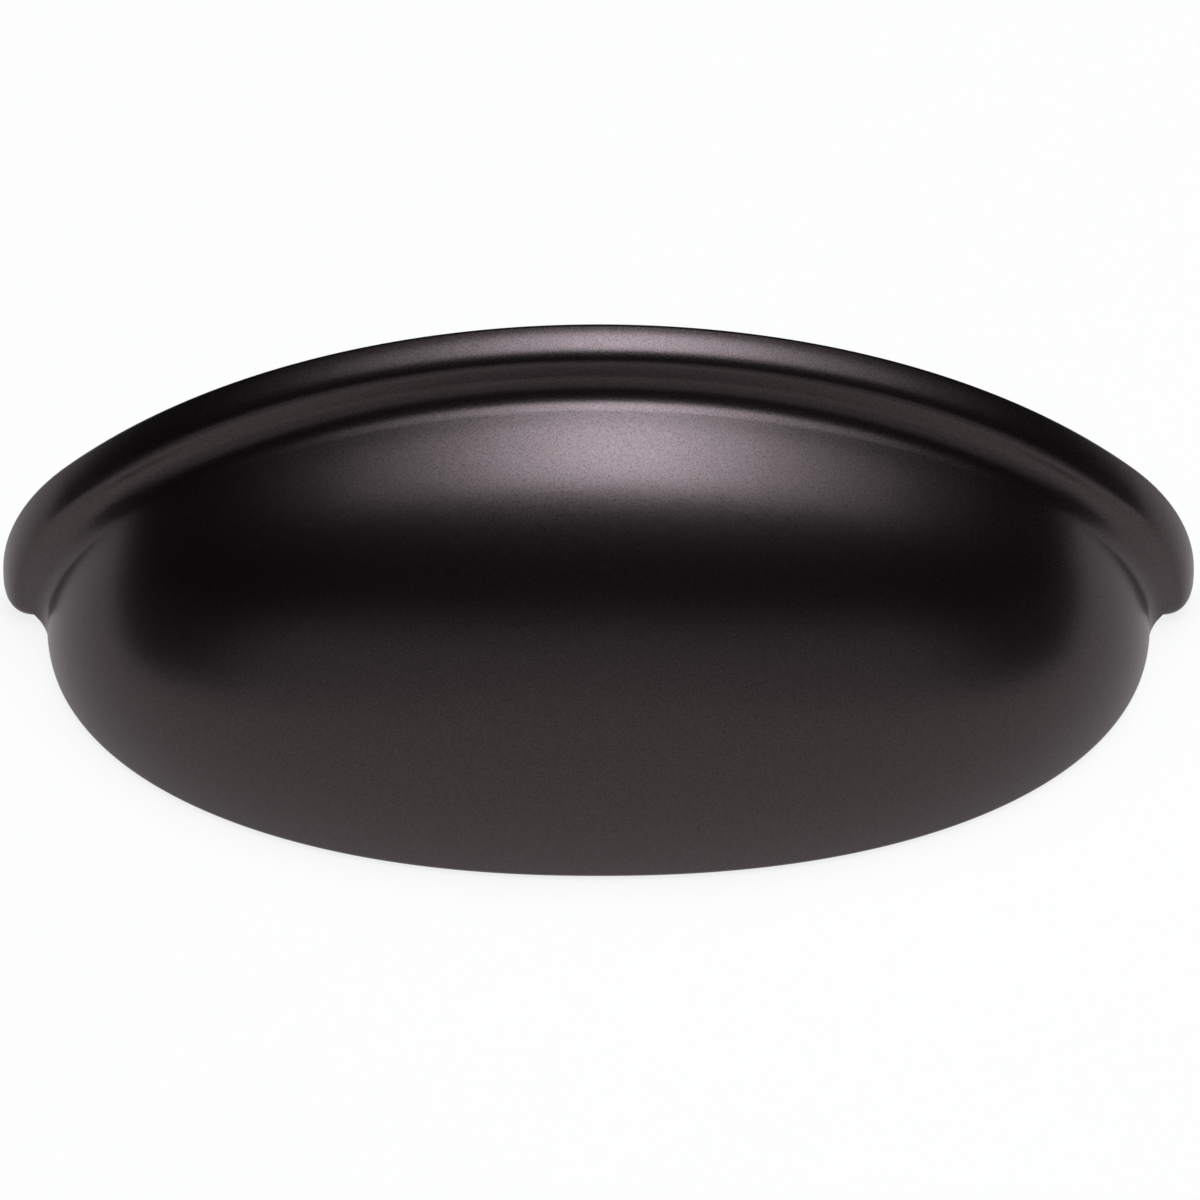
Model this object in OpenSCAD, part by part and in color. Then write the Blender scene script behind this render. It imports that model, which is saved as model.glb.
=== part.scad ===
// Cup-shaped cabinet pull: one hollow casting with an arched flange that lies against a drawer front.
// The flange's back lies in the plane y = 0. The cup stands out towards -Y and opens downwards.
// The origin is on the back face, midway between the two screw holes. Units are millimetres.

/* [Flange] */
// Overall width of the flange
flange_w = 108; // [106:0.5:112]
// Overall height of the flange above the opening
flange_h = 43; // [42.2:0.2:48]
// Thickness of the flange at its edge
flange_t = 3.4; // [2.4:0.1:4]
// How much thicker the flange is at the foot of the cup
face_rise = 0.25; // [0:0.05:0.6]
// Radius of the short arcs at the flange's two ends
flange_end_r = 27.8; // [20:0.2:32]
// How far the crowned edge of the flange falls inwards from the back to the face
edge_drop = 1.7; // [0.6:0.1:2]

/* [Cup] */
// Width of the cup where it leaves the flange
cup_w = 100; // [97:0.2:101]
// Height of the cup where it leaves the flange
cup_h = 38.3; // [34:0.1:38.8]
// How far the lip stands in front of the flange
cup_depth = 27.1; // [22:0.1:32]
// Radius of the short arcs at the two ends of the cup's outline
cup_end_r = 31.5; // [20:0.5:32]
// Fullness of the lip seen from above, where 2 is a plain ellipse
plan_fullness = 2.18; // [2:0.02:2.6]
// Fullness of the cup seen from the side, where 2 is a plain ellipse
side_fullness = 2; // [1.9:0.05:2.6]
// Radius of the fillet between the cup and the flange, at the top of the cup
fillet_r = 2.8; // [1.4:0.1:3.2]
// Radius of the same fillet at the two feet of the cup
foot_fillet_r = 1.2; // [0.6:0.1:1.6]
// Thickness of the cup's wall
wall = 2.4; // [1.8:0.1:3]
// Radius of the lip's two rounded edges
lip_r = 1; // [0.4:0.1:1.1]

/* [Screw bosses] */
// Distance between the two screw holes
hole_spacing = 76.2; // [70:0.1:78]
// Height of the screw holes above the opening
hole_z = 11; // [10:0.5:12]
// Diameter of each tapped hole, at the root of its thread
hole_d = 3.3; // [2.8:0.1:4]
// Depth of each blind hole
hole_depth = 10; // [6:0.5:11]
// Diameter of each screw boss
boss_d = 7.6; // [7:0.2:8]

/* [Smoothness] */
// Steps along half of the cup's outline
outline_steps = 32; // [20:2:40]
// Steps up the side of the cup
side_steps = 18; // [12:1:24]
// Steps across the flange's crowned edge, and round the fillet
edge_steps = 7; // [4:1:9]
// Steps round each small radius
round_steps = 5; // [3:1:6]

/* [Hidden] */
finish_color = "#1e1b1b";

flange_half = flange_w / 2;
cup_half = cup_w / 2;
// The cup stands on this plane, in front of the back face
base_t = flange_t + face_rise;
// The flange's lower corners end where the fillet starts
corner_r = flange_half - cup_half - foot_fillet_r;
// Angles of the fillet where it leaves the cup's wall and where it runs into the flange's face
fillet_low_a = 8;
fillet_top_a = 76;
// The hollow runs this far past the back face and the opening
overcut = 1;
// Points are rounded to this step, so that rows which meet at one point share it
snap = 0.0001;
// The lip's edge radius fades out over this share of the wall's height at the ends of the lip
lip_share = 1 / 3;
// Columns of a skin run from one lower corner over the top to the other
middle_column = outline_steps + round_steps;
columns = [0:2 * middle_column];

// Radius of an arch's long arc, which runs tangent into a short arc at each end
function long_arc_r(half, rise, end_r) =
    ((half - end_r) ^ 2 + rise ^ 2 - end_r ^ 2) / (2 * (rise - end_r));

// Normal angle at which a short end arc runs into the long arc
function meeting_angle(half, rise, end_r) =
    atan2(long_arc_r(half, rise, end_r) - rise, half - end_r);

// Point of an arch at the normal angle a, from 0 at its foot to 90 at its top
function arch_point(a, half, rise, end_r) =
    let (long_r = long_arc_r(half, rise, end_r))
    a < meeting_angle(half, rise, end_r)
        ? [half - end_r + end_r * cos(a), end_r * sin(a)]
        : [long_r * cos(a), rise - long_r + long_r * sin(a)];

// Height of an arch at the distance x from its middle
function arch_height(x, half, rise, end_r) =
    let (
        long_r = long_arc_r(half, rise, end_r),
        foot_x = half - end_r,
        meeting_x = foot_x + end_r * cos(meeting_angle(half, rise, end_r))
    )
    x > meeting_x
        ? sqrt(max(0, end_r ^ 2 - (x - foot_x) ^ 2))
        : rise - long_r + sqrt(long_r ^ 2 - x ^ 2);

// What a rounded outline keeps of its full size, at the share p of the way along its other axis
function kept_share(p, fullness) = max(0, 1 - min(1, p) ^ fullness) ^ (1 / fullness);

// Depth of the cup in front of the flange, and its height, at the distance x from its middle
function depth_at(x, inset) =
    (cup_depth - inset) * kept_share(x / (cup_half - inset), plan_fullness);
function height_at(x, inset) =
    arch_height(x, cup_half - inset, cup_h - inset, cup_end_r - inset);

// Direction square to the lip, seen from above, as [across, forwards]
function lip_normal(x, inset) =
    let (
        half = cup_half - inset,
        depth = cup_depth - inset,
        across = (x / half) ^ (plan_fullness - 1) / half,
        forwards = (depth_at(x, inset) / depth) ^ (plan_fullness - 1) / depth
    )
    [across, forwards] / norm([across, forwards]);

// Depth and height of the cup's side, at the share q of the way from low_z up to top_z
function side_point(x, inset, low_z, top_z, q) =
    let (
        height = max(height_at(x, inset), snap),
        low_a = asin(min(1, low_z / height) ^ (side_fullness / 2)),
        top_a = asin(min(1, top_z / height) ^ (side_fullness / 2)),
        a = low_a + (top_a - low_a) * q
    )
    [
        depth_at(x, inset) * cos(a) ^ (2 / side_fullness),
        height * sin(a) ^ (2 / side_fullness)
    ];

// Rounding of the lip's edge, which fades out where the lip runs into the flange
function lip_edge_r(top_z) = min(lip_r, top_z * lip_share);

// A column's twin on the first half of the outline, and its normal angle there
function near_column(i) = min(i, 2 * middle_column - i);
function column_angle(i) =
    let (k = near_column(i) - round_steps)
    k < 0 ? 90 * k / round_steps : 90 * k / outline_steps;
function foot_angle(i) = max(0, column_angle(i));

// Point at a column, from its distance across, depth in front of the cup's base and height over the opening
function placed(i, x, s, z) =
    let (p = [i < middle_column ? -x : x, -base_t - s, z])
    [for (v = p) round(v / snap) * snap];

// Flange: a point at the depth t in front of the back face, its outline moved inwards by inset
function flange_point(i, t, inset) =
    let (
        a = column_angle(i),
        arch = arch_point(foot_angle(i), flange_half, flange_h - corner_r, flange_end_r),
        p = a < 0
            ? [flange_half - corner_r, corner_r] + (corner_r - inset) * [cos(a), sin(a)]
            : arch + [0, corner_r] - inset * [cos(a), sin(a)]
    )
    placed(i, p.x, t - base_t, p.y);

// Fillet: its radius at a column, and the depth and width of its arc
function fillet_r_at(i) = foot_fillet_r + (fillet_r - foot_fillet_r) * sin(foot_angle(i));
function fillet_depth(i) = fillet_r_at(i) * (sin(fillet_top_a) - sin(fillet_low_a));
function fillet_width(i) = fillet_r_at(i) * (cos(fillet_low_a) - cos(fillet_top_a));

// Cup: distance across, held in so that the lip is as deep as the fillet at its ends
function cup_x(i) =
    arch_point(foot_angle(i), cup_half, cup_h, cup_end_r).x
        * kept_share(fillet_depth(0) / cup_depth, plan_fullness);

// Height of the cup's wall where the fillet starts
function fillet_z(i) =
    let (
        x = cup_x(i),
        depth = fillet_depth(i)
    )
    height_at(x, 0) * kept_share(depth / max(depth, depth_at(x, 0)), side_fullness);

// Fillet: a point at the angle a, from the cup's wall to the flange
function fillet_point(i, a) =
    let (
        cup_end = [cup_x(i), fillet_z(i)],
        arch = arch_point(foot_angle(i), cup_half, cup_h, cup_end_r),
        flange_end = arch + fillet_width(i) * [cos(foot_angle(i)), sin(foot_angle(i))],
        share = (cos(fillet_low_a) - cos(a)) / (cos(fillet_low_a) - cos(fillet_top_a)),
        p = cup_end + (flange_end - cup_end) * share,
        depth = fillet_r_at(i) * (sin(fillet_top_a) - sin(a))
    )
    placed(i, p.x, depth, max(p.y, edge_drop * share));

// Outside of the cup, at the share q of the way up from the lip's edge to the fillet
function outer_point(i, q) =
    let (
        x = cup_x(i),
        top_z = fillet_z(i),
        p = side_point(x, 0, lip_edge_r(top_z), top_z, q)
    )
    placed(i, x, p.x, p.y);

// Outer edge of the lip, at the angle a from 0 on the cup's side to 90 at the opening
function outer_lip_point(i, a) =
    let (
        x = cup_x(i),
        r = lip_edge_r(fillet_z(i)),
        p = side_point(x, 0, r, r, 0),
        shift = lip_normal(x, 0) * r * (1 - cos(a))
    )
    placed(i, x - shift.x, p.x - shift.y, r * (1 - sin(a)));

// Inside of the cup: distance across, and a point at the share q of the way up
function inner_x(i) = arch_point(foot_angle(i), cup_half - wall, cup_h - wall, cup_end_r - wall).x;
function inner_point(i, q) =
    let (
        x = inner_x(i),
        top_z = height_at(x, wall),
        p = side_point(x, wall, lip_edge_r(top_z), top_z, q)
    )
    placed(i, x, p.x, column_angle(i) < 0 ? -overcut : p.y);

// Inner edge of the lip, flared outwards to the opening
function inner_lip_point(i, a) =
    let (
        x = inner_x(i),
        r = lip_edge_r(height_at(x, wall)),
        p = side_point(x, wall, r, r, 0),
        shift = lip_normal(x, wall) * r * (1 - cos(a))
    )
    placed(i, x + shift.x, p.x + shift.y, column_angle(i) < 0 ? -overcut : r * (1 - sin(a)));

// Closed solid from rows of points, fanned to one hub point at both ends of the rows and columns
module skinned(rows, hub) {
    n = len(rows[0]);
    m = len(rows);
    strips = [
        for (j = [0:m - 2], i = [0:n - 2])
            for (t = [[0, 1, n], [1, n + 1, n]])
                [for (k = t) j * n + i + k]
    ];
    first_fan = [for (i = [0:n - 2]) [m * n, i + 1, i]];
    last_fan = [for (i = [0:n - 2]) [m * n, (m - 1) * n + i, (m - 1) * n + i + 1]];
    left_fan = [for (j = [0:m - 2]) [m * n, j * n, (j + 1) * n]];
    right_fan = [for (j = [0:m - 2]) [m * n, (j + 1) * n + n - 1, j * n + n - 1]];
    polyhedron(
        points = concat([for (row = rows) each row], [hub]),
        faces = concat(strips, first_fan, last_fan, left_fan, right_fan)
    );
}

// The casting before it is hollowed: flange, fillet, cup and lip under one skin
module solid_body() {
    rows = [
        for (k = [0:edge_steps])
            let (a = 90 * k / edge_steps)
            [for (i = columns) flange_point(i, flange_t * sin(a), edge_drop * (1 - cos(a)))],
        for (k = [0:edge_steps])
            let (a = fillet_top_a + (fillet_low_a - fillet_top_a) * k / edge_steps)
            [for (i = columns) fillet_point(i, a)],
        for (k = [1:side_steps])
            [for (i = columns) outer_point(i, 1 - k / side_steps)],
        for (k = [1:round_steps])
            [for (i = columns) outer_lip_point(i, 90 * k / round_steps)]
    ];
    skinned(rows, [0, 0, 0]);
}

// Space for the fingers, open at the back and below
module finger_hollow() {
    rows = [
        [for (i = columns) placed(i, inner_x(i), -base_t - overcut, inner_point(i, 1).z)],
        for (k = [0:side_steps])
            [for (i = columns) inner_point(i, 1 - k / side_steps)],
        for (k = [1:round_steps])
            [for (i = columns) inner_lip_point(i, 90 * k / round_steps)],
        [
            for (i = columns)
                let (p = inner_lip_point(i, 90))
                [p.x, p.y, -overcut]
        ]
    ];
    skinned(rows, [0, overcut, -overcut]);
}

// A round bar on each screw's axis, from start to end along the way the screw goes in
module screw_bars(start, end, d) {
    for (side = [-1, 1])
        translate([side * hole_spacing / 2, -start, 0])
            rotate([90, 0, 0])
                cylinder(h = end - start, d = d, $fn = 48);
}

// One hollow casting, with a solid boss left standing round each screw hole
module cup_pull() {
    color(finish_color)
        difference() {
            translate([0, 0, -hole_z]) solid_body();
            difference() {
                translate([0, 0, -hole_z]) finger_hollow();
                screw_bars(0, base_t + cup_depth, boss_d);
            }
            screw_bars(-overcut, hole_depth, hole_d);
        }
}

cup_pull();
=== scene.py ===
from math import cos, pi, radians, sin

import bmesh
import bpy
import numpy as np
from mathutils import Matrix, Vector


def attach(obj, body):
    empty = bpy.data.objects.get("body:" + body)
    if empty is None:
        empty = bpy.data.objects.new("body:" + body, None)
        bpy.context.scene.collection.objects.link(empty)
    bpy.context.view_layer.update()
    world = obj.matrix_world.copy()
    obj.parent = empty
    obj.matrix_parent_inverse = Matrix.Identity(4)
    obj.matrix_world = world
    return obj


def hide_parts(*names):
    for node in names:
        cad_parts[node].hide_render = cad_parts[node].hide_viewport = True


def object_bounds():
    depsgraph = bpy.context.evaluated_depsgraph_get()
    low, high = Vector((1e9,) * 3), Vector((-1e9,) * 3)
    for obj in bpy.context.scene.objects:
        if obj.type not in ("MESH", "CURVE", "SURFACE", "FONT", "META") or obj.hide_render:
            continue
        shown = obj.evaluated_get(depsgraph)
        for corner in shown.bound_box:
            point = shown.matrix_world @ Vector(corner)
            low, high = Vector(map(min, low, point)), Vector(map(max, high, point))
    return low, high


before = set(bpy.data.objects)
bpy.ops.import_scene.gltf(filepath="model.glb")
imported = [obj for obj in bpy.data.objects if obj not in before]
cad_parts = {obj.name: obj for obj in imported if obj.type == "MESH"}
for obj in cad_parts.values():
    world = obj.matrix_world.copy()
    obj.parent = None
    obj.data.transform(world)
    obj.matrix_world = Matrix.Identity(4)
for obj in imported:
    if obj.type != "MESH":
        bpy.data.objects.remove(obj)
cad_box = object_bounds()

# Sizes in millimetres, as in the part's source
FLANGE_W = 108.0
FLANGE_H = 43.0
FLANGE_T = 3.4
FACE_RISE = 0.25
FLANGE_END_R = 27.8
EDGE_DROP = 1.7
CUP_W = 100.0
CUP_H = 38.3
CUP_DEPTH = 27.1
CUP_END_R = 31.5
PLAN_FULLNESS = 2.18
SIDE_FULLNESS = 2.0
FILLET_R = 2.8
FOOT_FILLET_R = 1.2
WALL = 2.4
LIP_R = 1.0
HOLE_SPACING = 76.2
HOLE_Z = 11.0
HOLE_D = 3.3
HOLE_DEPTH = 10.0
BOSS_D = 7.6

FLANGE_HALF = FLANGE_W / 2
CUP_HALF = CUP_W / 2
BASE_T = FLANGE_T + FACE_RISE
CORNER_R = FLANGE_HALF - CUP_HALF - FOOT_FILLET_R
# Angles of the fillet where it leaves the cup's wall and where it runs into the flange's face
FILLET_LOW_A = radians(8)
FILLET_TOP_A = radians(76)
# How the fillet grows from the feet, where 1 follows the sine of the outline's angle
FILLET_GROWTH = 0.5
# Angle at which the flange's crowned edge runs into its face
CROWN_A = radians(84)
# The lip's edge radius fades out over this share of the wall's height at the ends of the lip
LIP_SHARE = 1 / 3
# Least height of the cup, so that nothing is divided by zero at its two ends
LEAST_H = 0.0001

# Small forms that only show close up, in millimetres
BACK_EDGE_R = 0.12
BOSS_EDGE = 0.3
BOSS_ROOT_R = 1.0
# A boss's straight side is at least this long
BOSS_SIDE = 0.1
# The root's rounding and the boss itself run this far into the cup's wall
ROOT_SINK = 0.12
BOSS_SINK = 1.2
THREAD_PITCH = 0.7
THREAD_HEIGHT = 0.3
THREAD_MOUTH_R = 2.15
# Slope of a thread's flanks, in heights a pitch, and the height at which they would meet
THREAD_FLANK = 3.2
THREAD_PEAK = 1.35
# The thread stops this far short of the hole's end, and fades out over its last stretch
THREAD_SHORT = 1.6
THREAD_FADE = 0.4
DRILL_POINT = 0.9
DRILL_TIP_R = 0.15
# A screw's space starts this far behind the flange's back
OVERCUT = 0.5

# Steps of the fine skin
OUTLINE_STEPS = 80
CORNER_STEPS = 8
SIDE_STEPS = 44
ROUND_STEPS = 8
BACK_EDGE_STEPS = 2
EDGE_STEPS = 16
FACE_STEPS = 4
BOSS_STEPS = 64
BOSS_SIDE_STEPS = 6
BOSS_ROOT_STEPS = 8
BOSS_ROOT_TRIES = 121
BOSS_END_STEPS = 6
THREAD_STEPS = 36
PITCH_STEPS = 8

# Points closer than this are one point, and an edge shorter than this is dissolved
MERGE_REACH = 0.0005
THIN_EDGE = 0.0002
# Edges that turn more than this stay sharp
SHARP_A = radians(50)

# The photograph's view, with lengths in metres
VIEW_ELEVATION = radians(57)
VIEW_MIDDLE = (0.000133, -0.015, 0.009)
VIEW_LIFT = 0.000947
VIEW_DISTANCE = 0.9
LENS_MM = 304.95
SENSOR_MM = 36

# The light straight over the pull: the name, width in metres and radiance of each part
OVERHEAD_PARTS = [
    ("middle", 0.35, 3.4),
    ("wide", 0.8, 2.88),
    ("wider", 1.3, 1.1),
    ("ends", 2.0, 0.95),
]
OVERHEAD_DEPTH = 0.7
LIGHT_COLOUR = (0.92, 0.95, 1.0)
# The lights stand this far round to the right
LIGHT_SIDE_A = radians(4)

# Outlines of the right halves of the two table tops, in metres
TABLE_SIDE = [(2.5, -2.5), (2.5, 2.5)]
GLOSSED_SIDE = [(0.085, -1.2), (0.085, -0.03), (0.3, 0.05), (0.3, 0.4)]
GLOSSED_SINK = 0.0001


def long_arc_r(half, rise, end_r):
    """Radius of an arch's long arc, which runs tangent into a short arc at each end."""
    return ((half - end_r) ** 2 + rise**2 - end_r**2) / (2 * (rise - end_r))


def meeting_angle(half, rise, end_r):
    """Normal angle at which a short end arc runs into the long arc."""
    return np.arctan2(long_arc_r(half, rise, end_r) - rise, half - end_r)


def arch_point(a, half, rise, end_r):
    """Distances across and heights of an arch at the normal angles a."""
    long_r = long_arc_r(half, rise, end_r)
    at_end = a < meeting_angle(half, rise, end_r)
    across = np.where(at_end, half - end_r + end_r * np.cos(a), long_r * np.cos(a))
    height = np.where(at_end, end_r * np.sin(a), rise - long_r + long_r * np.sin(a))
    return across, height


def arch_height(x, half, rise, end_r):
    """Height of an arch at the distances x from its middle."""
    long_r = long_arc_r(half, rise, end_r)
    foot_x = half - end_r
    meeting_x = foot_x + end_r * np.cos(meeting_angle(half, rise, end_r))
    at_end = np.sqrt(np.maximum(0, end_r**2 - (x - foot_x) ** 2))
    on_long = rise - long_r + np.sqrt(long_r**2 - x**2)
    return np.where(x > meeting_x, at_end, on_long)


def kept_share(p, fullness):
    """What a rounded outline keeps of its full size, at the share p of the way along its other axis."""
    return np.maximum(0, 1 - np.minimum(1, p) ** fullness) ** (1 / fullness)


def depth_at(x, inset):
    """Depth of the cup in front of the flange, for its outside or for a skin inset from it."""
    return (CUP_DEPTH - inset) * kept_share(x / (CUP_HALF - inset), PLAN_FULLNESS)


def height_at(x, inset):
    """Height of the cup where it meets the flange's front."""
    return arch_height(x, CUP_HALF - inset, CUP_H - inset, CUP_END_R - inset)


def lip_normal(x, inset):
    """Direction square to the lip, seen from above, as distances across and forwards."""
    half = CUP_HALF - inset
    depth = CUP_DEPTH - inset
    across = (x / half) ** (PLAN_FULLNESS - 1) / half
    forwards = (depth_at(x, inset) / depth) ** (PLAN_FULLNESS - 1) / depth
    size = np.hypot(across, forwards)
    return across / size, forwards / size


def side_point(x, inset, low_z, top_z, q):
    """Depth and height of the cup's side, at the share q of the way from low_z up to top_z."""
    height = np.maximum(height_at(x, inset), LEAST_H)
    low_a = np.arcsin(np.minimum(1, low_z / height) ** (SIDE_FULLNESS / 2))
    top_a = np.arcsin(np.minimum(1, top_z / height) ** (SIDE_FULLNESS / 2))
    a = low_a + (top_a - low_a) * q
    depth = depth_at(x, inset) * np.cos(a) ** (2 / SIDE_FULLNESS)
    return depth, height * np.sin(a) ** (2 / SIDE_FULLNESS)


def lip_edge_r(top_z):
    """Rounding of the lip's edge, which fades out where the lip runs into the flange."""
    return np.minimum(LIP_R, top_z * LIP_SHARE)


# Half of the columns: normal angles from a lower corner of the flange up to the middle of the arch
corner_angles = np.linspace(-pi / 2, 0, CORNER_STEPS, endpoint=False)
outline_angles = np.linspace(0, pi / 2, OUTLINE_STEPS + 1)
column_angles = np.concatenate([corner_angles, outline_angles])
foot_angles = np.maximum(0, column_angles)
on_corner = column_angles < 0

# The fillet, and the cup's wall where it starts, at every column
cup_edge_x, cup_edge_z = arch_point(foot_angles, CUP_HALF, CUP_H, CUP_END_R)
fillet_r = FOOT_FILLET_R + (FILLET_R - FOOT_FILLET_R) * np.sin(foot_angles) ** FILLET_GROWTH
fillet_depth = fillet_r * (sin(FILLET_TOP_A) - sin(FILLET_LOW_A))
fillet_width = fillet_r * (cos(FILLET_LOW_A) - cos(FILLET_TOP_A))
outer_x = cup_edge_x * kept_share(fillet_depth[0] / CUP_DEPTH, PLAN_FULLNESS)
outer_top_z = height_at(outer_x, 0) * kept_share(
    fillet_depth / np.maximum(fillet_depth, depth_at(outer_x, 0)), SIDE_FULLNESS
)
inner_x = arch_point(foot_angles, CUP_HALF - WALL, CUP_H - WALL, CUP_END_R - WALL)[0]
inner_top_z = height_at(inner_x, WALL)


def row(x, s, z):
    """A whole row of points from the left corner over the top to the right one.

    x is the distance across, s the depth in front of the cup's base and z the height over the opening.
    """
    half = np.stack(np.broadcast_arrays(x, -BASE_T - s, z - HOLE_Z), axis=-1).astype(float)
    left = half * [-1, 1, 1]
    return np.concatenate([left, half[-2::-1]])


def flange_row(t, inset):
    """A row on the flange: its outline moved inwards by inset, at the depth t in front of its back."""
    x, z = arch_point(foot_angles, FLANGE_HALF, FLANGE_H - CORNER_R, FLANGE_END_R)
    reach = np.where(on_corner, CORNER_R - inset, -inset)
    x = np.where(on_corner, FLANGE_HALF - CORNER_R, x) + reach * np.cos(column_angles)
    z = np.where(on_corner, CORNER_R, z + CORNER_R) + reach * np.sin(column_angles)
    return row(x, t - BASE_T, z)


def fillet_row(a):
    """A row of the fillet, at the angle a of its arc, from the cup's wall to the flange's face."""
    flange_x = cup_edge_x + fillet_width * np.cos(foot_angles)
    flange_z = cup_edge_z + fillet_width * np.sin(foot_angles)
    share = (cos(FILLET_LOW_A) - cos(a)) / (cos(FILLET_LOW_A) - cos(FILLET_TOP_A))
    x = outer_x + (flange_x - outer_x) * share
    z = outer_top_z + (flange_z - outer_top_z) * share
    return row(x, fillet_r * (sin(FILLET_TOP_A) - sin(a)), np.maximum(z, EDGE_DROP * share))


def outer_row(q):
    """A row of the cup's outside, at the share q of the way up from the lip."""
    s, z = side_point(outer_x, 0, lip_edge_r(outer_top_z), outer_top_z, q)
    return row(outer_x, s, z)


def inner_row(q):
    """A row of the cup's inside, at the share q of the way up from the lip."""
    s, z = side_point(inner_x, WALL, lip_edge_r(inner_top_z), inner_top_z, q)
    return row(inner_x, s, z)


def lip_row(a, inside):
    """A row of the lip's outer or inner edge, at the angle a from 0 on the side to a quarter turn."""
    outer = (outer_x, outer_top_z, 0, -1)
    inner = (inner_x, inner_top_z, WALL, 1)
    x, top_z, inset, way = inner if inside else outer
    r = lip_edge_r(top_z)
    s, _ = side_point(x, inset, r, r, 0)
    across, forwards = lip_normal(x, inset)
    reach = way * r * (1 - cos(a))
    return row(x + across * reach, s + forwards * reach, r * (1 - sin(a)))


def casting_rows():
    """Rows right round the casting's section: back, edge, face, fillet, cup, lip and inside.

    Also gives how many of them lie on the flange's edge, and how many come before the cup's side.
    """
    back_edge = np.linspace(0, pi / 2, BACK_EDGE_STEPS + 1)
    rows = [flange_row(BACK_EDGE_R * (1 - cos(a)), BACK_EDGE_R * (1 - sin(a))) for a in back_edge]
    crown = np.linspace(0, CROWN_A, EDGE_STEPS + 1)
    rows += [flange_row(FLANGE_T * sin(a), EDGE_DROP * (1 - cos(a))) for a in crown[1:]]
    edge_count = len(rows)
    face_out = rows[-1]
    face_in = fillet_row(FILLET_TOP_A)
    rows += [face_out + (face_in - face_out) * k / FACE_STEPS for k in range(1, FACE_STEPS)]
    rows += [fillet_row(a) for a in np.linspace(FILLET_TOP_A, FILLET_LOW_A, EDGE_STEPS + 1)]
    side_start = len(rows)
    quarter = np.linspace(0, pi / 2, ROUND_STEPS + 1)
    rows += [outer_row(1 - k / SIDE_STEPS) for k in range(1, SIDE_STEPS + 1)]
    rows += [lip_row(a, False) for a in quarter[1:]]
    rows += [lip_row(a, True) for a in quarter[:0:-1]]
    rows += [inner_row(k / SIDE_STEPS) for k in range(SIDE_STEPS + 1)]
    inner_front = rows[-1]
    for outside in rows[edge_count - 1 :: -1]:
        straight = inner_front.copy()
        straight[:, 1] = outside[0][1]
        rows.append(straight)
    return rows, edge_count, side_start


def grid_faces(row_count, column_count, wrap_rows=False, wrap_columns=False):
    """Corner numbers of the four-sided faces between rows of points."""
    faces = []
    for j in range(row_count if wrap_rows else row_count - 1):
        for i in range(column_count if wrap_columns else column_count - 1):
            j1 = (j + 1) % row_count
            i1 = (i + 1) % column_count
            corners = [(j, i), (j, i1), (j1, i1), (j1, i)]
            faces.append([v * column_count + h for v, h in corners])
    return faces


def new_object(name, data):
    """A new object in the scene that shows the given mesh, light or camera."""
    obj = bpy.data.objects.new(name, data)
    bpy.context.scene.collection.objects.link(obj)
    return obj


def mesh_object(name, points, faces):
    """A closed mesh from points in millimetres, with double points merged and faces turned outwards."""
    mesh = bpy.data.meshes.new(name)
    mesh.from_pydata([tuple(p) for p in points], [], faces)
    work = bmesh.new()
    work.from_mesh(mesh)
    bmesh.ops.remove_doubles(work, verts=work.verts, dist=MERGE_REACH)
    bmesh.ops.dissolve_degenerate(work, edges=work.edges, dist=THIN_EDGE)
    bmesh.ops.recalc_face_normals(work, faces=work.faces)
    if work.calc_volume(signed=True) < 0:
        bmesh.ops.reverse_faces(work, faces=work.faces)
    work.to_mesh(mesh)
    work.free()
    return new_object(name, mesh)


def casting():
    """The casting without its bosses, as one skin closed under its two feet."""
    rows, edge_count, side_start = casting_rows()
    count = len(rows)
    n = len(rows[0])
    faces = grid_faces(count, n, wrap_rows=True)
    soles = [(j, j + 1, count - 2 - j, count - 1 - j) for j in range(edge_count)]
    soles += [(j, j + 1, count - 1 - edge_count) for j in range(edge_count, side_start - 1)]
    for column in (0, n - 1):
        faces += [[j * n + column for j in sole] for sole in soles]
    return mesh_object("cup_pull_skin", np.concatenate(rows), faces)


def back_depth(x, z):
    """Depth of the cup's inside behind a point of the back plane; 0 outside the hollow."""
    height = np.maximum(height_at(x, WALL), LEAST_H)
    share = (z + HOLE_Z) / height
    depth = BASE_T + depth_at(x, WALL) * kept_share(share, SIDE_FULLNESS)
    return np.where(share < 1, depth, 0)


def turned(name, ring_profiles, angles):
    """A closed solid about the Y axis, from rings of (radius, depth) for every angle."""
    points = []
    for radii, depths in ring_profiles:
        radii = np.broadcast_to(radii, angles.shape)
        depths = np.broadcast_to(depths, angles.shape)
        points += [(r * cos(a), -d, r * sin(a)) for a, r, d in zip(angles, radii, depths)]
    count = len(angles)
    faces = grid_faces(len(ring_profiles), count, wrap_columns=True)
    for first in (0, (len(ring_profiles) - 1) * count):
        middle = len(points)
        depth = np.mean([points[first + i][1] for i in range(count)])
        points.append((0, depth, 0))
        faces += [[middle, first + i, first + (i + 1) % count] for i in range(count)]
    return mesh_object(name, points, faces)


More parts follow.
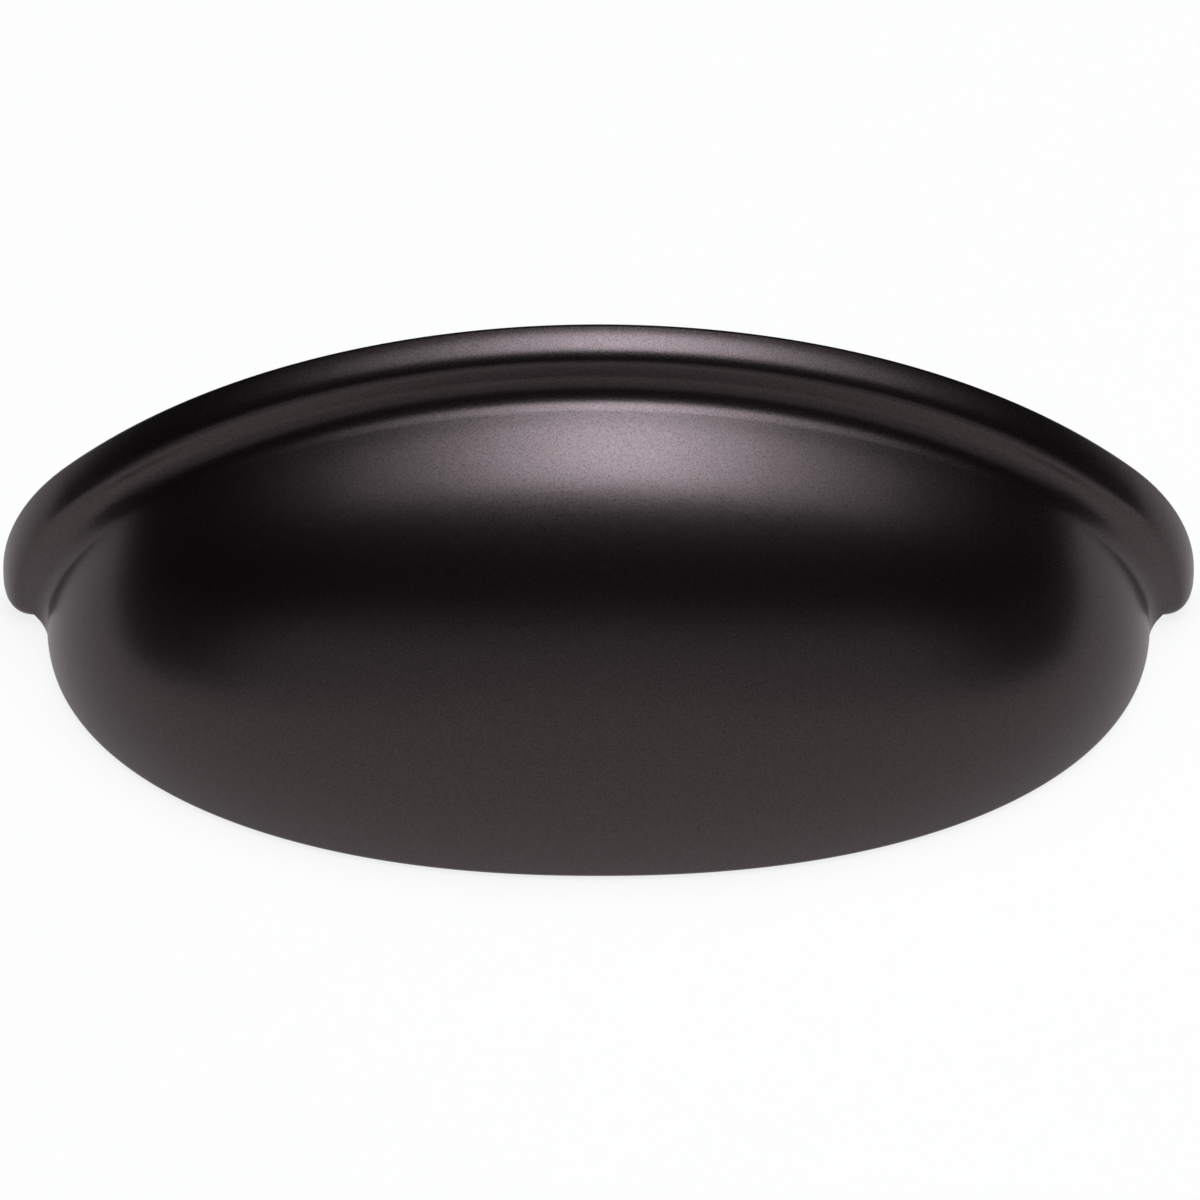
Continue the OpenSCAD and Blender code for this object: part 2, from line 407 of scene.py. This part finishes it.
def boss(side):
    """A screw boss that stands on the cup's inside, with a fillet round its root.

    The fillet is the one that a ball rolled round the root leaves.
    """
    angles = np.linspace(0, 2 * pi, BOSS_STEPS, endpoint=False)
    r = BOSS_D / 2

    def skin(reach):
        """Depth of the cup's inside, at the distance reach from the boss's axis."""
        x = abs(side * HOLE_SPACING / 2 + reach * np.cos(angles))
        return back_depth(x, reach * np.sin(angles))

    turns = np.linspace(0, pi, BOSS_ROOT_TRIES)
    room = np.array([skin(r + BOSS_ROOT_R * (1 - cos(t))) - BOSS_ROOT_R * sin(t) for t in turns])
    turn = turns[room.argmin(axis=0)]
    centre = np.maximum(room.min(axis=0), BOSS_EDGE + BOSS_SIDE)
    rings = [(r - BOSS_EDGE, 0), (r - BOSS_EDGE / 3, BOSS_EDGE / 3)]
    for k in range(BOSS_SIDE_STEPS + 1):
        rings.append((r, BOSS_EDGE + (centre - BOSS_EDGE) * k / BOSS_SIDE_STEPS))
    for k in range(1, BOSS_ROOT_STEPS + 1):
        t = turn * k / BOSS_ROOT_STEPS
        rings.append((r + BOSS_ROOT_R * (1 - np.cos(t)), centre + BOSS_ROOT_R * np.sin(t)))
    sunk = BOSS_ROOT_R + ROOT_SINK
    last_r = r + BOSS_ROOT_R - sunk * np.cos(turn)
    rings.append((last_r, centre + sunk * np.sin(turn)))
    for k in range(1, BOSS_END_STEPS + 1):
        reach = last_r + (r / 2 - last_r) * k / BOSS_END_STEPS
        rings.append((reach, skin(reach) + BOSS_SINK))
    obj = turned("boss", rings, angles)
    obj.location.x = side * HOLE_SPACING / 2
    return obj


def screw_space(side):
    """The space of a tapped blind hole: a countersunk mouth, a thread and a drill point."""
    angles = np.linspace(0, 2 * pi, THREAD_STEPS, endpoint=False)
    drill_r = HOLE_D / 2
    thread_end = HOLE_DEPTH - THREAD_SHORT
    rings = []
    for depth in np.arange(-OVERCUT, thread_end, THREAD_PITCH / PITCH_STEPS):
        phase = (depth / THREAD_PITCH - angles / (2 * pi)) % 1
        ridge = np.clip(THREAD_PEAK - THREAD_FLANK * np.abs(phase - 0.5), 0, 1)
        left = min(1, max(0, (thread_end - depth) / THREAD_FADE))
        thread_r = drill_r + THREAD_HEIGHT * ridge * left
        mouth_r = THREAD_MOUTH_R - max(0, depth)
        rings.append((np.maximum(thread_r, mouth_r), depth))
    rings.append((drill_r, thread_end))
    rings.append((drill_r, HOLE_DEPTH - DRILL_POINT))
    rings.append((DRILL_TIP_R, HOLE_DEPTH))
    obj = turned("screw_space", rings, angles)
    obj.location.x = side * HOLE_SPACING / 2
    return obj


def combined(base, others, operation):
    """The base object with the others joined to it or cut from it; the others are used up."""
    for other in others:
        change = base.modifiers.new(operation.lower(), "BOOLEAN")
        change.operation = operation
        change.solver = "MANIFOLD"
        change.object = other
    bpy.context.view_layer.update()
    graph = bpy.context.evaluated_depsgraph_get()
    mesh = bpy.data.meshes.new_from_object(base.evaluated_get(graph))
    base.modifiers.clear()
    base.data = mesh
    for other in others:
        bpy.data.objects.remove(other)
    return base


def fine_pull():
    """The whole pull in metres: the casting with its two tapped bosses, shaded smooth."""
    obj = casting()
    combined(obj, [boss(side) for side in (-1, 1)], "UNION")
    combined(obj, [screw_space(side) for side in (-1, 1)], "DIFFERENCE")
    obj.data.transform(obj.matrix_world)
    for vertex in obj.data.vertices:
        vertex.co *= 0.001
    obj.data.shade_smooth()
    obj.data.set_sharp_from_angle(angle=SHARP_A)
    even = obj.modifiers.new("even_normals", "WEIGHTED_NORMAL")
    even.keep_sharp = True
    obj.name = "cup_pull_cast"
    obj.data.name = "cup_pull_cast"
    return obj


class Nodes:
    """Small helper that adds and links the nodes of one material or of the world."""

    def __init__(self, tree):
        self.tree = tree
        tree.nodes.clear()

    def add(self, kind, inputs=None, **settings):
        """A new node with its settings, its numbers and its links."""
        node = self.tree.nodes.new(kind)
        for name, value in settings.items():
            setattr(node, name, value)
        for name, value in (inputs or {}).items():
            if isinstance(value, bpy.types.NodeSocket):
                self.tree.links.new(value, node.inputs[name])
            else:
                node.inputs[name].default_value = value
        return node

    def math(self, operation, *values):
        """The result of one sum on numbers or outputs."""
        return self.add("ShaderNodeMath", dict(enumerate(values)), operation=operation).outputs[0]

    def noise(self, place, scale, detail, roughness):
        """A noise over the surface, mostly near the middle between 0 and 1."""
        inputs = {"Vector": place, "Scale": scale, "Detail": detail, "Roughness": roughness}
        return self.add("ShaderNodeTexNoise", inputs).outputs["Fac"]

    def between(self, value, low, high, start=0.0, end=1.0, **settings):
        """A value that goes from low to high while another goes from start to end."""
        inputs = {"Value": value, "From Min": start, "From Max": end, "To Min": low, "To Max": high}
        return self.add("ShaderNodeMapRange", inputs, **settings).outputs["Result"]

    def mixed(self, share, first, second):
        """One shader that turns into another as the share goes from 0 to 1."""
        return self.add("ShaderNodeMixShader", {0: share, 1: first, 2: second}).outputs["Shader"]


def new_material(name):
    """A new material, and the helper that adds its nodes."""
    material = bpy.data.materials.new(name)
    material.use_nodes = True
    return material, Nodes(material.node_tree)


def satin_black():
    """Black powder coat: a fine grain that breaks up the gloss, over a soft unevenness of the film."""
    material, nodes = new_material("satin_black")
    place = nodes.add("ShaderNodeTexCoord").outputs["Object"]
    grain = nodes.noise(place, scale=7500, detail=2, roughness=0.6)
    ripple = nodes.noise(place, scale=420, detail=2, roughness=0.5)
    film = nodes.noise(place, scale=38, detail=3, roughness=0.5)
    tone = nodes.add("ShaderNodeValToRGB", {"Fac": film})
    darkest, lightest = tone.color_ramp.elements
    darkest.position = 0.3
    darkest.color = (0.0018, 0.0013, 0.0013, 1)
    lightest.position = 0.7
    lightest.color = (0.0024, 0.0018, 0.0018, 1)
    colour = nodes.add(
        "ShaderNodeVectorMath",
        {0: tone.outputs["Color"], "Scale": nodes.between(grain, 0.8, 1.2)},
        operation="SCALE",
    )
    rough = nodes.add("ShaderNodeBump", {"Height": ripple, "Strength": 0.12, "Distance": 0.00006})
    fine = nodes.add(
        "ShaderNodeBump",
        {"Height": grain, "Strength": 0.45, "Distance": 0.000012, "Normal": rough.outputs["Normal"]},
    )
    shader = nodes.add(
        "ShaderNodeBsdfPrincipled",
        {
            "Base Color": colour.outputs["Vector"],
            "Roughness": nodes.between(grain, 0.25, 0.31),
            "Normal": fine.outputs["Normal"],
            "IOR": 1.5,
            "Specular IOR Level": nodes.between(grain, 0.42, 1.08, start=0.25, end=0.75),
            "Specular Tint": (1.0, 0.81, 0.84, 1),
        },
    )
    nodes.add("ShaderNodeOutputMaterial", {"Surface": shader.outputs["BSDF"]})
    return material


def table_white():
    """Matt white, nearly even for the camera, and clear when seen from below."""
    material, nodes = new_material("table_white")
    matt = nodes.add("ShaderNodeBsdfDiffuse", {"Color": (0.5, 0.5, 0.5, 1)}).outputs["BSDF"]
    lit = nodes.add("ShaderNodeEmission", {"Color": (1, 1, 1, 1), "Strength": 1.15}).outputs["Emission"]
    camera_ray = nodes.add("ShaderNodeLightPath").outputs["Is Camera Ray"]
    top = nodes.mixed(nodes.math("MULTIPLY", camera_ray, 0.72), matt, lit)
    below = nodes.add("ShaderNodeNewGeometry").outputs["Backfacing"]
    clear = nodes.add("ShaderNodeBsdfTransparent").outputs["BSDF"]
    nodes.add("ShaderNodeOutputMaterial", {"Surface": nodes.mixed(below, top, clear)})
    return material


def glossed_white():
    """The even white that the pull's gloss shows of the table."""
    material, nodes = new_material("glossed_white")
    lit = nodes.add("ShaderNodeEmission", {"Color": (1, 0.96, 0.965, 1), "Strength": 0.64})
    nodes.add("ShaderNodeOutputMaterial", {"Surface": lit.outputs["Emission"]})
    return material


def fade(nodes, angle, start, end, low, high):
    """A value that goes softly from low to high between two angles in degrees."""
    return nodes.between(angle, low, high, radians(start), radians(end), interpolation_type="SMOOTHSTEP")


def studio_world():
    """White behind the object; in its gloss a dark room above a low pale strip in front of the table."""
    world = bpy.data.worlds.new("studio")
    world.use_nodes = True
    bpy.context.scene.world = world
    nodes = Nodes(world.node_tree)
    way = nodes.add("ShaderNodeTexCoord").outputs["Generated"]
    parts = nodes.add("ShaderNodeSeparateXYZ", {0: way}).outputs
    forward = nodes.math("MULTIPLY", parts["Y"], -1)
    rise = nodes.math("ARCTAN2", parts["Z"], forward)
    turn = nodes.math("ARCTAN2", nodes.math("ABSOLUTE", parts["X"]), forward)
    strip = fade(nodes, rise, start=12, end=25, low=0.42, high=0.005)
    ends = fade(nodes, turn, start=35, end=60, low=1, high=0.12)
    strength = nodes.math("MULTIPLY", strip, ends)
    room = nodes.add("ShaderNodeBackground", {"Color": (1, 0.985, 0.99, 1), "Strength": strength})
    white = nodes.add("ShaderNodeBackground", {"Color": (1, 1, 1, 1), "Strength": 1})
    camera_ray = nodes.add("ShaderNodeLightPath").outputs["Is Camera Ray"]
    both = nodes.mixed(camera_ray, room.outputs["Background"], white.outputs["Background"])
    nodes.add("ShaderNodeOutputWorld", {"Surface": both})


def table_top(name, right_side, sink, material):
    """A flat table top under the pull, from the outline of its right half."""
    low = cad_box[0][2] - sink
    outline = right_side + [(-x, y) for x, y in reversed(right_side)]
    mesh = bpy.data.meshes.new(name)
    mesh.from_pydata([(x, y, low) for x, y in outline], [], [list(range(len(outline)))])
    mesh.materials.append(material)
    obj = new_object(name, mesh)
    return obj


def tables():
    """A wide white table for the camera, and the long narrow white that the pull's gloss shows of it."""
    wide = table_top("table", TABLE_SIDE, 0, table_white())
    wide.visible_glossy = False
    wide.visible_shadow = False
    narrow = table_top("table_in_gloss", GLOSSED_SIDE, GLOSSED_SINK, glossed_white())
    narrow.visible_camera = False
    narrow.visible_diffuse = False


def facing(way):
    """A turn that points an object's own Z along the given way and keeps its own X level."""
    across = (Vector((1, 0, 0)) - way * way.x).normalized()
    return Matrix((across, way.cross(across), way)).transposed().to_euler()


def softbox(name, elevation, distance, width, depth, radiance):
    """A flat lamp that points at the pull; the elevation is in degrees and the lengths are in metres."""
    e = radians(elevation)
    side = cos(LIGHT_SIDE_A)
    way = Vector((sin(LIGHT_SIDE_A), -side * cos(e), side * sin(e)))
    data = bpy.data.lights.new(name, "AREA")
    data.shape = "RECTANGLE"
    data.size = width
    data.size_y = depth
    data.energy = radiance * pi * width * depth
    data.color = LIGHT_COLOUR
    obj = new_object(name, data)
    obj.location = way * distance
    obj.rotation_euler = facing(way)
    obj.visible_camera = False


def lights():
    """One light over the pull that fades to both sides, and a weak ceiling behind it.

    The parts of the first are stacked, each wider one a little higher, so that no two share a plane.
    """
    for name, width, radiance in OVERHEAD_PARTS:
        softbox("overhead_" + name, 90, 1 + width / 100, width, OVERHEAD_DEPTH, radiance)
    softbox("ceiling", elevation=101, distance=1.04, width=3.2, depth=1.0, radiance=0.2)


def camera():
    """A long lens that looks down at the pull from the front, as in the photograph."""
    up = Vector((0, sin(VIEW_ELEVATION), cos(VIEW_ELEVATION)))
    way = Vector((0, -cos(VIEW_ELEVATION), sin(VIEW_ELEVATION)))
    data = bpy.data.cameras.new("camera")
    data.sensor_width = SENSOR_MM
    data.lens = LENS_MM
    obj = new_object("camera", data)
    obj.location = Vector(VIEW_MIDDLE) + VIEW_LIFT * up + VIEW_DISTANCE * way
    obj.rotation_euler = facing(way)
    bpy.context.scene.camera = obj


pull = fine_pull()
pull.data.materials.clear()
pull.data.materials.append(satin_black())
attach(pull, "root")
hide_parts("cup_pull")

tables()
studio_world()
lights()
camera()
bpy.context.scene.view_settings.view_transform = "Standard"
